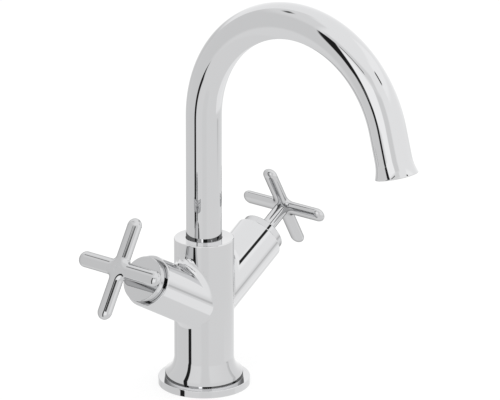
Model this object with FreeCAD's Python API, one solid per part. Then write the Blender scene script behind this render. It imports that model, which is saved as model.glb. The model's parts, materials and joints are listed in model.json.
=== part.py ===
import FreeCAD, Part
import os
from math import asin, cos, degrees, pi, radians, sin, sqrt
from FreeCAD import Placement, Rotation, Vector

# Two-handle bathroom mixer faucet with a swan-neck spout and cross handles.
# Sizes are in millimetres. +Z is up and the origin is on the column's axis, on the deck.
# The spout reaches towards -Y, the hot handle is on -X and the cold handle on +X.

# Clearances
SEAT_CLEARANCE = 0.1  # between pieces that are fixed together
RUNNING_CLEARANCE = 0.05  # between a turning piece and the bore that guides it
OPEN_CLEARANCE = 0.3  # between faces that move past each other without touching
CUT_MARGIN = 1.0  # how far a groove's cutter stands outside the bar that it cuts
TOUCH = 0.01  # points nearer than this are taken to be on a face

# Column, foot and base ring
COLUMN_RADIUS = 18.5
COLUMN_TOP = 94.8
COLUMN_TOP_ROUND = 0.8
FOOT_RADIUS = 24.1
FOOT_WALL_HEIGHT = 3.9
FOOT_FLARE_RADIUS = 11.5
RING_RADIUS = 28.5
RING_HEIGHT = 4.5
RING_EDGE_ROUND = 0.5
RING_OPENING_RADIUS = 16.0
BASE_SEAL_RADIUS = 23.0
BASE_SEAL_WIDTH = 3.0
BASE_SEAL_HEIGHT = 1.5
BOSS_RECESS = 1.0

# Arms that carry the handles
ARM_RADIUS = 15.95
ARM_RISE = 30.0  # degrees above the deck
ARM_CROSSING = 50.5  # height where the arm axes meet the column's axis
ARM_LENGTH = 60.8
ARM_END_ROUND = 0.7
ARM_BLEND_RADIUS = 5.5
ARM_BORE_RADIUS = 11.5

# Waterways and fixings in the underside
INLET_RADIUS = 4.5
INLET_DEPTH = 14.0
INLET_OFFSET = 10.0
STUD_HOLE_RADIUS = 3.4
STUD_HOLE_DEPTH = 16.0
WATERWAY_RADIUS = 2.5
PORT_OFFSET = 4.5
CHAMBER_STEP = 1.5  # how much narrower the mixing chamber is than the spigot
CHAMBER_DEPTH = 9.0

# Spout
TUBE_RADIUS = 11.0
TUBE_WALL = 1.5
BEND_START = 172.7
BEND_RADIUS = 71.1
BEND_ANGLE = 164.8
OUTLET_STRAIGHT = 17.0
OUTLET_FLARE_LENGTH = 10.5
OUTLET_SPREAD = 2.1  # how far the rim stands out past the tube
OUTLET_RIM_ROUND = 0.5
TUBE_SOCKET_DEPTH = 8.0
GLIDE_WASHER_THICKNESS = 1.0
SPIGOT_SHOULDER = 1.5  # step between the tube's bore and the spigot's turning part
SPIGOT_WALL = 3.0
SPIGOT_LENGTH = 14.0
SPIGOT_PLUG_LENGTH = 12.0
SPOUT_SEAL_WIDTH = 2.0
SPOUT_SEAL_DEPTH = 1.4
SPOUT_SEAL_HEIGHTS = (2.0, 5.6)  # from the spigot's lower end
STOP_SLOT_HEIGHT = 11.2  # from the spigot's lower end
STOP_SLOT_WIDTH = 2.4
STOP_SLOT_DEPTH = 1.6
SPOUT_SWING = 60.0  # degrees to each side
STOP_SCREW_RADIUS = 2.0
STOP_NOSE_RADIUS = 1.0
STOP_SCREW_RECESS = 0.6

# Aerator in the outlet
AERATOR_SHOULDER = 0.7  # step between the tube's bore and the aerator's socket
AERATOR_SOCKET_DEPTH = 13.5
AERATOR_WALL = 1.3
AERATOR_RECESS = 2.0
AERATOR_GASKET_THICKNESS = 1.2
MESH_THICKNESS = 0.8
MESH_RECESS = 0.6
MESH_HOLE_RADIUS = 0.55
MESH_HOLE_PITCH = 2.0
MESH_ROW_ANGLE = 60.0  # degrees between the screen's lines of holes

# Valve cartridge in each arm
SEAT_SEAL_THICKNESS = 1.5
SEAT_SEAL_WIDTH = 2.4
DISC_THICKNESS = 3.5
DISC_GAP = 0.02
PORT_RADIUS = 2.6
MOVING_DISC_SLOT_DEPTH = 2.0
CARTRIDGE_WALL = 1.3
CARTRIDGE_LENGTH = 26.0
DRIVER_RADIUS = 8.5
DRIVER_THICKNESS = 3.0
SPINDLE_RADIUS = 4.5
SPINDLE_SEAL_WIDTH = 2.0
SPINDLE_SEAL_DEPTH = 1.1
SPINDLE_SEAL_STATIONS = (3.5, 7.5)  # from the driver's upper face
CLIP_THICKNESS = 1.0
CLIP_RADIUS = 7.0
CLIP_GROOVE_DEPTH = 0.7
CLIP_OPENING = 5.0
BONNET_SEAL_WIDTH = 2.2
BONNET_SEAL_DEPTH = 1.2
BONNET_SEAL_STATION = 18.0  # from the cartridge's lower end
NUT_THICKNESS = 3.4
NUT_OPENING_RADIUS = 8.0
NUT_RECESS = 1.3  # depth of the nut's face below the arm's end

# Handles
HUB_RADIUS = 14.0
HUB_THICKNESS = 4.9
HUB_EDGE_ROUND = 0.6
HUB_SLEEVE_RADIUS = 6.5
HUB_SLEEVE_LENGTH = 3.6
SPLINE_RADIUS = 4.0
SPLINE_FLAT = 3.4
NOSE_RADIUS = 2.5
NOSE_LENGTH = 8.0
STEM_RADIUS = 4.35
CROSS_STATION = 89.2  # from the arms' crossing point, along the arm
ROD_HALF_LENGTH = 31.8
ROD_WIDTH = 9.75
ROD_THICKNESS = 6.4
CORNER_RADIUS = 2.5
CORNER_INSET = 0.06  # keeps the corner webs just under the rods' faces
GRUB_RADIUS = 1.5
GRUB_SOCKET_RADIUS = 0.75
GRUB_SOCKET_DEPTH = 1.6
GRUB_LENGTH = 6.0

# Places that follow from the sizes above
UP = Vector(0, 0, 1)
FOOT_TOP = RING_HEIGHT + FOOT_WALL_HEIGHT
ARM_BORE_DEPTH = SEAT_CLEARANCE + CARTRIDGE_LENGTH + NUT_THICKNESS + NUT_RECESS
ARM_FLOOR = ARM_LENGTH - ARM_BORE_DEPTH
ARM_PLACE = Placement(Vector(0, 0, ARM_CROSSING), Rotation(Vector(0, 1, 0), ARM_RISE - 90))
SOCKET_FLOOR = COLUMN_TOP - TUBE_SOCKET_DEPTH
TUBE_FOOT = SOCKET_FLOOR + GLIDE_WASHER_THICKNESS + RUNNING_CLEARANCE
SPIGOT_LOW = SOCKET_FLOOR - SPIGOT_LENGTH
CHAMBER_TOP = SPIGOT_LOW - OPEN_CLEARANCE
TUBE_BORE = TUBE_RADIUS - TUBE_WALL
SPIGOT_RADIUS = TUBE_BORE - SPIGOT_SHOULDER
SPIGOT_BORE_RADIUS = SPIGOT_RADIUS - SPIGOT_WALL
CHAMBER_RADIUS = SPIGOT_RADIUS - CHAMBER_STEP
STOP_HEIGHT = SPIGOT_LOW + STOP_SLOT_HEIGHT

CARTRIDGE_LOW = ARM_FLOOR + SEAT_CLEARANCE
CARTRIDGE_TOP = CARTRIDGE_LOW + CARTRIDGE_LENGTH
CARTRIDGE_RADIUS = ARM_BORE_RADIUS - SEAT_CLEARANCE
CARTRIDGE_CAVITY = CARTRIDGE_RADIUS - CARTRIDGE_WALL
FIXED_DISC_RADIUS = CARTRIDGE_CAVITY - SEAT_CLEARANCE
MOVING_DISC_RADIUS = CARTRIDGE_CAVITY - OPEN_CLEARANCE
FIXED_DISC_LOW = ARM_FLOOR + SEAT_SEAL_THICKNESS
MOVING_DISC_LOW = FIXED_DISC_LOW + DISC_THICKNESS + DISC_GAP
DRIVER_LOW = MOVING_DISC_LOW + DISC_THICKNESS
DRIVER_TOP = DRIVER_LOW + DRIVER_THICKNESS
CAVITY_TOP = DRIVER_TOP + OPEN_CLEARANCE
CLIP_LOW = CARTRIDGE_TOP + RUNNING_CLEARANCE
CLIP_TOP = CLIP_LOW + CLIP_THICKNESS
HUB_LOW = ARM_LENGTH + OPEN_CLEARANCE
HUB_TOP = HUB_LOW + HUB_THICKNESS
NOSE_TOP = HUB_TOP + NOSE_LENGTH

OUTLET_RIM_RADIUS = TUBE_RADIUS + OUTLET_SPREAD
OUTLET_END = OUTLET_STRAIGHT + OUTLET_FLARE_LENGTH
AERATOR_TOP = OUTLET_END - AERATOR_SOCKET_DEPTH
AERATOR_LOW = OUTLET_END - AERATOR_RECESS
AERATOR_SOCKET_RADIUS = TUBE_BORE + AERATOR_SHOULDER
AERATOR_RADIUS = AERATOR_SOCKET_RADIUS - SEAT_CLEARANCE


def rod(radius, low, high):
    """Round bar along Z between two heights."""
    return Part.makeCylinder(radius, high - low, Vector(0, 0, low))


def washer(inner, outer, low, high):
    """Flat ring along Z between two heights."""
    return rod(outer, low, high).cut(rod(inner, low, high))


def turned(edges):
    """Solid turned about Z from a closed outline of edges in the XZ plane."""
    outline = Part.Wire(Part.__sortEdges__(edges))
    return Part.Face(outline).revolve(Vector(0, 0, 0), UP, 360)


def line(start, end):
    """Straight edge in the XZ plane, from and to (radius, height)."""
    return Part.makeLine(Vector(start[0], 0, start[1]), Vector(end[0], 0, end[1]))


def arc(start, middle, end):
    """Circular edge in the XZ plane through three (radius, height) points."""
    points = [Vector(radius, 0, height) for radius, height in (start, middle, end)]
    return Part.Arc(*points).toShape()


def rounded(shape, radius, height):
    """The shape with its level edges at the given height rounded."""
    rims = [edge for edge in shape.Edges if is_level(edge, height)]
    return shape.makeFillet(radius, rims)


def is_level(edge, height):
    """True when the whole edge is at the given height."""
    box = edge.BoundBox
    return max(abs(box.ZMin - height), abs(box.ZMax - height)) < TOUCH


def moved(shape, placement):
    """The shape taken from its own axis to where the placement puts that axis."""
    copy = shape.copy()
    copy.Placement = placement.multiply(copy.Placement)
    return copy


def on_arm(shape):
    """A piece made along Z from the crossing point, laid along the hot arm."""
    return moved(shape, ARM_PLACE)


def mirrored(shape):
    """The cold side's copy of a hot side piece."""
    return shape.mirror(Vector(0, 0, 0), Vector(1, 0, 0))


def flare_rise(spread, curve_radius):
    """Height of a hollow curve that leaves an upright wall and spreads out by a given amount."""
    return sqrt(curve_radius ** 2 - (curve_radius - spread) ** 2)


def flare_edge(start, spread, curve_radius, direction):
    """Hollow curve from (radius, height) on an upright wall, running up (1) or down (-1) as it spreads."""
    radius, height = start
    rise = flare_rise(spread, curve_radius)
    half_turn = asin(rise / curve_radius) / 2
    middle = (radius + curve_radius * (1 - cos(half_turn)), height + direction * curve_radius * sin(half_turn))
    return arc(start, middle, (radius + spread, height + direction * rise))


def column_blank():
    """Column with its hollow flare, upright foot and the boss that centres the base ring."""
    spread = FOOT_RADIUS - COLUMN_RADIUS
    flare_top = FOOT_TOP + flare_rise(spread, FOOT_FLARE_RADIUS)
    boss_radius = RING_OPENING_RADIUS - SEAT_CLEARANCE
    column = turned([
        line((0, BOSS_RECESS), (boss_radius, BOSS_RECESS)),
        line((boss_radius, BOSS_RECESS), (boss_radius, RING_HEIGHT)),
        line((boss_radius, RING_HEIGHT), (FOOT_RADIUS, RING_HEIGHT)),
        line((FOOT_RADIUS, RING_HEIGHT), (FOOT_RADIUS, FOOT_TOP)),
        flare_edge((COLUMN_RADIUS, flare_top), spread, FOOT_FLARE_RADIUS, -1),
        line((COLUMN_RADIUS, flare_top), (COLUMN_RADIUS, COLUMN_TOP)),
        line((COLUMN_RADIUS, COLUMN_TOP), (0, COLUMN_TOP)),
        line((0, COLUMN_TOP), (0, BOSS_RECESS)),
    ])
    return rounded(column, COLUMN_TOP_ROUND, COLUMN_TOP)


def arm_blank():
    """One arm, from the column's axis to its rounded end."""
    return on_arm(rounded(rod(ARM_RADIUS, 0, ARM_LENGTH), ARM_END_ROUND, ARM_LENGTH))


def joins_arm_and_column(edge):
    """True when the edge lies on the column's wall and on an arm's wall all along."""
    axis = Vector(cos(radians(ARM_RISE)), 0, sin(radians(ARM_RISE)))
    samples = 7
    for point in edge.discretize(samples):
        from_crossing = Vector(abs(point.x), point.y, point.z - ARM_CROSSING)
        off_column = abs(Vector(point.x, point.y, 0).Length - COLUMN_RADIUS)
        off_arm = abs(from_crossing.cross(axis).Length - ARM_RADIUS)
        if max(off_column, off_arm) > TOUCH:
            return False
    return True


def waterways():
    """Hot side passages: inlet up to the valve's floor, and from there into the chamber."""
    inlet_top = BOSS_RECESS + INLET_DEPTH
    elbow_station = (INLET_OFFSET - PORT_OFFSET * sin(radians(ARM_RISE))) / cos(radians(ARM_RISE))
    elbow_place = ARM_PLACE.multVec(Vector(-PORT_OFFSET, 0, elbow_station))
    inlet = rod(INLET_RADIUS, BOSS_RECESS, inlet_top)
    riser = rod(WATERWAY_RADIUS, inlet_top, elbow_place.z)
    for upright in (inlet, riser):
        upright.translate(Vector(-INLET_OFFSET, 0, 0))
    elbow = Part.makeSphere(WATERWAY_RADIUS, elbow_place)
    feed = rod(WATERWAY_RADIUS, elbow_station, FIXED_DISC_LOW)
    feed.translate(Vector(-PORT_OFFSET, 0, 0))
    bore = rod(ARM_BORE_RADIUS, ARM_FLOOR, ARM_LENGTH)
    port_place = ARM_PLACE.multVec(Vector(PORT_OFFSET, 0, ARM_FLOOR))
    outflow = Part.makeCylinder(
        WATERWAY_RADIUS, WATERWAY_RADIUS - port_place.x, Vector(0, 0, port_place.z), Vector(-1, 0, 0))
    return [inlet, riser, elbow, on_arm(feed), on_arm(bore), outflow]


def mixer_body():
    """The one-piece body: column, foot and arms, with its bores and waterways."""
    body = column_blank().fuse([arm_blank(), mirrored(arm_blank())]).removeSplitter()
    joints = [edge for edge in body.Edges if joins_arm_and_column(edge)]
    body = body.makeFillet(ARM_BLEND_RADIUS, joints)
    chamber_low = CHAMBER_TOP - CHAMBER_DEPTH
    stop_hole = Part.makeCylinder(
        STOP_SCREW_RADIUS, COLUMN_RADIUS, Vector(0, 0, STOP_HEIGHT), Vector(0, 1, 0))
    cuts = [
        rod(TUBE_RADIUS + OPEN_CLEARANCE, SOCKET_FLOOR, COLUMN_TOP),
        rod(SPIGOT_RADIUS + RUNNING_CLEARANCE, CHAMBER_TOP, SOCKET_FLOOR),
        rod(CHAMBER_RADIUS, chamber_low, CHAMBER_TOP),
        rod(STUD_HOLE_RADIUS, BOSS_RECESS, BOSS_RECESS + STUD_HOLE_DEPTH),
        stop_hole,
    ]
    hot = waterways()
    return body.cut(cuts + hot + [mirrored(cut) for cut in hot])


def base_ring():
    """Ring under the foot, with a groove for its seal."""
    ring = rounded(rod(RING_RADIUS, 0, RING_HEIGHT), RING_EDGE_ROUND, RING_HEIGHT)
    ring = ring.cut(rod(RING_OPENING_RADIUS, 0, RING_HEIGHT))
    return ring.cut(washer(BASE_SEAL_RADIUS - BASE_SEAL_WIDTH / 2, BASE_SEAL_RADIUS + BASE_SEAL_WIDTH / 2,
                           0, BASE_SEAL_HEIGHT))


def base_seal():
    """Flat seal in the base ring's groove, level with the ring's underside."""
    half = BASE_SEAL_WIDTH / 2 - SEAT_CLEARANCE
    return washer(BASE_SEAL_RADIUS - half, BASE_SEAL_RADIUS + half, 0, BASE_SEAL_HEIGHT)


def swept_neck(radius, low):
    """Straight riser and bend of the spout at one radius, up to the end of the bend."""
    riser = rod(radius, low, BEND_START)
    section = Part.Face(Part.Wire(Part.makeCircle(radius, Vector(0, 0, BEND_START), UP)))
    bend = section.revolve(Vector(0, -BEND_RADIUS, BEND_START), Vector(1, 0, 0), BEND_ANGLE)
    return riser.fuse(bend)


def outlet_place():
    """Placement whose Z leaves the end of the bend, along the tube."""
    turn = radians(BEND_ANGLE)
    end = Vector(0, -BEND_RADIUS * (1 - cos(turn)), BEND_START + BEND_RADIUS * sin(turn))
    return Placement(end, Rotation(Vector(1, 0, 0), BEND_ANGLE))


def outlet_blank():
    """Straight end of the spout and its flared mouth."""
    curve_radius = (OUTLET_FLARE_LENGTH ** 2 + OUTLET_SPREAD ** 2) / (2 * OUTLET_SPREAD)
    mouth = turned([
        line((0, 0), (TUBE_RADIUS, 0)),
        line((TUBE_RADIUS, 0), (TUBE_RADIUS, OUTLET_STRAIGHT)),
        flare_edge((TUBE_RADIUS, OUTLET_STRAIGHT), OUTLET_SPREAD, curve_radius, 1),
        line((OUTLET_RIM_RADIUS, OUTLET_END), (0, OUTLET_END)),
        line((0, OUTLET_END), (0, 0)),
    ])
    return rounded(mouth, OUTLET_RIM_ROUND, OUTLET_END)


def spout_tube():
    """Swan-neck tube with its flared outlet, hollow from end to end."""
    outside = swept_neck(TUBE_RADIUS, TUBE_FOOT).fuse(moved(outlet_blank(), outlet_place()))
    inside = swept_neck(TUBE_BORE, TUBE_FOOT)
    socket = rod(AERATOR_SOCKET_RADIUS, AERATOR_TOP, OUTLET_END)
    outlet_bore = rod(TUBE_BORE, 0, OUTLET_END).fuse(socket)
    return outside.removeSplitter().cut([inside, moved(outlet_bore, outlet_place())])


def spout_spigot():
    """Brass foot fixed in the tube; it turns in the body and carries the seals and stop slot."""
    plug = rod(TUBE_BORE - SEAT_CLEARANCE, TUBE_FOOT, TUBE_FOOT + SPIGOT_PLUG_LENGTH)
    spigot = rod(SPIGOT_RADIUS, SPIGOT_LOW, TUBE_FOOT).fuse(plug).removeSplitter()
    grooves = [
        washer(SPIGOT_RADIUS - SPOUT_SEAL_DEPTH, SPIGOT_RADIUS + CUT_MARGIN, SPIGOT_LOW + height,
               SPIGOT_LOW + height + SPOUT_SEAL_WIDTH)
        for height in SPOUT_SEAL_HEIGHTS
    ]
    bore = rod(SPIGOT_BORE_RADIUS, SPIGOT_LOW, TUBE_FOOT + SPIGOT_PLUG_LENGTH)
    return spigot.cut(grooves + [bore, stop_slot()])


def stop_slot():
    """Part-turn slot that lets the stop screw pass through the spout's swing."""
    nose_angle = degrees(asin(STOP_NOSE_RADIUS / (SPIGOT_RADIUS - STOP_SLOT_DEPTH)))
    half_angle = SPOUT_SWING + nose_angle
    inner = SPIGOT_RADIUS - STOP_SLOT_DEPTH
    low = STOP_HEIGHT - STOP_SLOT_WIDTH / 2
    high = STOP_HEIGHT + STOP_SLOT_WIDTH / 2
    outline = Part.makePolygon([
        Vector(inner, 0, low),
        Vector(SPIGOT_RADIUS + CUT_MARGIN, 0, low),
        Vector(SPIGOT_RADIUS + CUT_MARGIN, 0, high),
        Vector(inner, 0, high),
        Vector(inner, 0, low),
    ])
    slot = Part.Face(outline).revolve(Vector(0, 0, 0), UP, 2 * half_angle)
    slot.rotate(Vector(0, 0, 0), UP, 90 - half_angle)
    return slot


def spout_seals():
    """Two sealing rings on the spigot."""
    rings = [
        washer(SPIGOT_RADIUS - SPOUT_SEAL_DEPTH, SPIGOT_RADIUS, SPIGOT_LOW + height,
               SPIGOT_LOW + height + SPOUT_SEAL_WIDTH)
        for height in SPOUT_SEAL_HEIGHTS
    ]
    return Part.makeCompound(rings)


def spout_glide_washer():
    """Washer in the body's socket that the spout's foot turns on."""
    return washer(SPIGOT_RADIUS + OPEN_CLEARANCE, TUBE_RADIUS + OPEN_CLEARANCE - SEAT_CLEARANCE,
                  SOCKET_FLOOR, SOCKET_FLOOR + GLIDE_WASHER_THICKNESS)


def spout_stop_screw():
    """Headless screw in the column's back; its nose stands in the spigot's slot."""
    back = Vector(0, 1, 0)
    start = SPIGOT_RADIUS + RUNNING_CLEARANCE + OPEN_CLEARANCE
    end = COLUMN_RADIUS - STOP_SCREW_RECESS
    nose_start = SPIGOT_RADIUS - STOP_SLOT_DEPTH + OPEN_CLEARANCE
    centre = Vector(0, 0, STOP_HEIGHT)
    shank = Part.makeCylinder(STOP_SCREW_RADIUS, end - start, centre + back * start, back)
    nose = Part.makeCylinder(STOP_NOSE_RADIUS, start - nose_start, centre + back * nose_start, back)
    socket = Part.makeCylinder(STOP_NOSE_RADIUS, STOP_SCREW_RADIUS, centre + back * end, back * -1)
    return shank.fuse(nose).cut(socket)


def aerator_housing():
    """Cage that holds the screen in the outlet."""
    low = AERATOR_TOP + AERATOR_GASKET_THICKNESS
    return washer(AERATOR_RADIUS - AERATOR_WALL, AERATOR_RADIUS, low, AERATOR_LOW)


def aerator_gasket():
    """Gasket between the cage and the step in the outlet."""
    return washer(TUBE_BORE - AERATOR_WALL, AERATOR_RADIUS, AERATOR_TOP, AERATOR_TOP + AERATOR_GASKET_THICKNESS)


def aerator_mesh():
    """Perforated screen across the cage's lower end."""
    radius = AERATOR_RADIUS - AERATOR_WALL
    high = AERATOR_LOW - MESH_RECESS
    screen = rod(radius, high - MESH_THICKNESS, high)
    row_height = MESH_HOLE_PITCH * sin(radians(MESH_ROW_ANGLE))
    rows = int(radius / row_height)
    holes = []
    for row in range(-rows, rows + 1):
        shift = MESH_HOLE_PITCH / 2 * (row % 2)
        columns = int(radius / MESH_HOLE_PITCH) + 1
        for column in range(-columns, columns + 1):
            place = Vector(column * MESH_HOLE_PITCH + shift, row * row_height, 0)
            if place.Length < radius - MESH_HOLE_PITCH / 2:
                hole = rod(MESH_HOLE_RADIUS, high - MESH_THICKNESS, high)
                hole.translate(place)
                holes.append(hole)
    return screen.cut(holes)


def cartridge_housing():
    """Valve housing screwed into the arm: skirt round the discs and neck round the spindle."""
    blank = rod(CARTRIDGE_RADIUS, CARTRIDGE_LOW, CARTRIDGE_TOP)
    cavity = rod(CARTRIDGE_CAVITY, CARTRIDGE_LOW, CAVITY_TOP)
    neck = rod(SPINDLE_RADIUS + RUNNING_CLEARANCE, CAVITY_TOP, CARTRIDGE_TOP)
    groove_low = CARTRIDGE_LOW + BONNET_SEAL_STATION
    groove = washer(CARTRIDGE_RADIUS - BONNET_SEAL_DEPTH, CARTRIDGE_RADIUS + CUT_MARGIN,
                    groove_low, groove_low + BONNET_SEAL_WIDTH)
    return blank.cut([cavity, neck, groove])


def bonnet_seal():
    """Sealing ring between the valve housing and the arm's bore."""
    low = CARTRIDGE_LOW + BONNET_SEAL_STATION
    return washer(CARTRIDGE_RADIUS - BONNET_SEAL_DEPTH, ARM_BORE_RADIUS, low, low + BONNET_SEAL_WIDTH)


def seat_seal():
    """Flat seal between the arm's floor and the fixed disc."""
    return washer(FIXED_DISC_RADIUS - SEAT_SEAL_WIDTH, FIXED_DISC_RADIUS, ARM_FLOOR, FIXED_DISC_LOW)


def fixed_disc():
    """Ceramic disc with a port over each waterway."""
    disc = rod(FIXED_DISC_RADIUS, FIXED_DISC_LOW, FIXED_DISC_LOW + DISC_THICKNESS)
    ports = []
    for side in (-1, 1):
        port = rod(PORT_RADIUS, FIXED_DISC_LOW, FIXED_DISC_LOW + DISC_THICKNESS)
        port.translate(Vector(side * PORT_OFFSET, 0, 0))
        ports.append(port)
    return disc.cut(ports)


def moving_disc():
    """Ceramic disc with a slot that joins the ports when it is turned a quarter."""
    disc = rod(MOVING_DISC_RADIUS, MOVING_DISC_LOW, MOVING_DISC_LOW + DISC_THICKNESS)
    length = 2 * (PORT_OFFSET + PORT_RADIUS)
    width = 2 * PORT_RADIUS
    slot = Part.makeBox(width, length, MOVING_DISC_SLOT_DEPTH, Vector(-width / 2, -length / 2, MOVING_DISC_LOW))
    return disc.cut(slot)


def spindle():
    """Valve spindle: driver on the moving disc, sealed shaft, flatted spline and screwed nose."""
    driver = rod(DRIVER_RADIUS, DRIVER_LOW, DRIVER_TOP)
    shaft = rod(SPINDLE_RADIUS, DRIVER_TOP, CLIP_TOP)
    spline = rod(SPLINE_RADIUS, CLIP_TOP, HUB_TOP)
    flats = Part.makeBox(2 * SPLINE_FLAT, 2 * SPLINE_RADIUS, HUB_TOP - CLIP_TOP,
                         Vector(-SPLINE_FLAT, -SPLINE_RADIUS, CLIP_TOP))
    nose = rod(NOSE_RADIUS, HUB_TOP, NOSE_TOP)
    grooves = [
        washer(SPINDLE_RADIUS - SPINDLE_SEAL_DEPTH, SPINDLE_RADIUS + CUT_MARGIN, DRIVER_TOP + station,
               DRIVER_TOP + station + SPINDLE_SEAL_WIDTH)
        for station in SPINDLE_SEAL_STATIONS
    ]
    grooves.append(washer(SPINDLE_RADIUS - CLIP_GROOVE_DEPTH, SPINDLE_RADIUS + CUT_MARGIN, CLIP_LOW, CLIP_TOP))
    return driver.fuse([shaft, spline.common(flats), nose]).cut(grooves)


def spindle_seals():
    """Two sealing rings on the spindle."""
    rings = [
        washer(SPINDLE_RADIUS - SPINDLE_SEAL_DEPTH, SPINDLE_RADIUS, DRIVER_TOP + station,
               DRIVER_TOP + station + SPINDLE_SEAL_WIDTH)
        for station in SPINDLE_SEAL_STATIONS
    ]
    return Part.makeCompound(rings)


def spindle_clip():
    """Open spring clip that keeps the spindle from being pushed in."""
    ring = washer(SPINDLE_RADIUS - CLIP_GROOVE_DEPTH, CLIP_RADIUS, CLIP_LOW, CLIP_TOP)
    opening = Part.makeBox(CLIP_OPENING, CLIP_RADIUS, CLIP_THICKNESS, Vector(-CLIP_OPENING / 2, 0, CLIP_LOW))
    return ring.cut(opening)


def retaining_nut():
    """Ring nut in the arm's mouth, on top of the valve housing."""
    return washer(NUT_OPENING_RADIUS, CARTRIDGE_RADIUS, CARTRIDGE_TOP, CARTRIDGE_TOP + NUT_THICKNESS)


def handle_hub():
    """Disc that covers the arm's end, with a sleeve down the spindle."""
    disc = rounded(rod(HUB_RADIUS, HUB_LOW, HUB_TOP), HUB_EDGE_ROUND, HUB_TOP)
    sleeve = rod(HUB_SLEEVE_RADIUS, HUB_LOW - HUB_SLEEVE_LENGTH, HUB_LOW)
    bore = rod(SPLINE_RADIUS, HUB_LOW - HUB_SLEEVE_LENGTH, HUB_TOP)
    flats = Part.makeBox(2 * SPLINE_FLAT, 2 * SPLINE_RADIUS, HUB_TOP, Vector(-SPLINE_FLAT, -SPLINE_RADIUS, 0))
    screw_hole = Part.makeCylinder(
        GRUB_RADIUS, HUB_RADIUS, Vector(0, 0, HUB_LOW + HUB_THICKNESS / 2), Vector(-1, 0, 0))
    return disc.fuse(sleeve).cut([bore.common(flats), screw_hole])


def grub_screw():
    """Headless screw from the hub's lower side to the spindle's flat."""
    centre = Vector(0, 0, HUB_LOW + HUB_THICKNESS / 2)
    inward = Vector(1, 0, 0)
    start = SPLINE_FLAT + SEAT_CLEARANCE
    shank = Part.makeCylinder(GRUB_RADIUS, GRUB_LENGTH, centre - inward * start, inward * -1)
    outer_end = centre - inward * (start + GRUB_LENGTH)
    socket = Part.makeCylinder(GRUB_SOCKET_RADIUS, GRUB_SOCKET_DEPTH, outer_end, inward)
    return shank.cut(socket)


def oval(centre, width, thickness, across):
    """Oval face: width along the given direction, thickness along Z."""
    curve = Part.Ellipse(centre + across * (width / 2), centre + UP * (thickness / 2), centre)
    return Part.Face(Part.Wire(curve.toShape()))


def half_oval(centre, width, thickness, across):
    """The half of an oval face that lies towards the given direction."""
    curve = Part.Ellipse(centre + across * (width / 2), centre + UP * (thickness / 2), centre)
    bow = Part.ArcOfEllipse(curve, -pi / 2, pi / 2).toShape()
    chord = Part.makeLine(bow.lastVertex().Point, bow.firstVertex().Point)
    return Part.Face(Part.Wire([bow, chord]))


def cross_rod(direction):
    """One oval rod of the cross, with rounded ends, through the cross's centre."""
    across = UP.cross(direction)
    centre = Vector(0, 0, CROSS_STATION)
    reach = ROD_HALF_LENGTH - ROD_WIDTH / 2
    bar = oval(centre - direction * reach, ROD_WIDTH, ROD_THICKNESS, across).extrude(direction * (2 * reach))
    pieces = [bar]
    for side in (-1, 1):
        end = centre + direction * (side * reach)
        pieces.append(half_oval(end, ROD_WIDTH, ROD_THICKNESS, across).revolve(end, UP, -180 * side))
    return pieces


def corner_web(angle):
    """Quarter bend that rounds one inner corner between two rods."""
    bend_radius = ROD_WIDTH / 2 + CORNER_RADIUS
    centre = Vector(bend_radius, bend_radius, CROSS_STATION)
    start = Vector(bend_radius, 0, CROSS_STATION)
    section = oval(start, ROD_WIDTH - 2 * CORNER_INSET, ROD_THICKNESS - 2 * CORNER_INSET, Vector(0, 1, 0))
    web = section.revolve(centre, UP, -90)
    web.rotate(Vector(0, 0, CROSS_STATION), UP, angle)
    return web


def cross_handle():
    """Cross of two oval rods on a round stem that screws onto the spindle's nose."""
    rods = cross_rod(Vector(1, 0, 0)) + cross_rod(Vector(0, 1, 0))
    webs = [corner_web(90 * quarter) for quarter in range(4)]
    stem = rod(STEM_RADIUS, HUB_TOP, CROSS_STATION)
    cross = stem.fuse(rods + webs).removeSplitter()
    return cross.cut(rod(NOSE_RADIUS, HUB_TOP, NOSE_TOP))


FIXED_PIECES = {
    "mixer_body": mixer_body,
    "base_ring": base_ring,
    "base_seal": base_seal,
    "spout_glide_washer": spout_glide_washer,
    "spout_stop_screw": spout_stop_screw,
    "spout_tube": spout_tube,
    "spout_spigot": spout_spigot,
    "spout_seals": spout_seals,
}

OUTLET_PIECES = {
    "aerator_housing": aerator_housing,
    "aerator_gasket": aerator_gasket,
    "aerator_mesh": aerator_mesh,
}

ARM_PIECES = {
    "cartridge_housing": cartridge_housing,
    "bonnet_seal": bonnet_seal,
    "seat_seal": seat_seal,
    "fixed_disc": fixed_disc,
    "retaining_nut": retaining_nut,
    "moving_disc": moving_disc,
    "spindle": spindle,
    "spindle_seals": spindle_seals,
    "spindle_clip": spindle_clip,
    "handle_hub": handle_hub,
    "grub_screw": grub_screw,
    "cross_handle": cross_handle,
}


def all_pieces():
    """Every piece in its place, by name."""
    pieces = {name: make() for name, make in FIXED_PIECES.items()}
    for name, make in OUTLET_PIECES.items():
        pieces[name] = moved(make(), outlet_place())
    for name, make in ARM_PIECES.items():
        hot = on_arm(make())
        pieces["hot_" + name] = hot
        pieces["cold_" + name] = mirrored(hot)
    return pieces


os.makedirs("parts", exist_ok=True)
for name, shape in all_pieces().items():
    shape.exportStep("parts/" + name + ".step")
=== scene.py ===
import json
from math import acos, cos, pi, radians, sin, sqrt, tan

import bmesh
import bpy
from mathutils import Matrix, Vector


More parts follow.
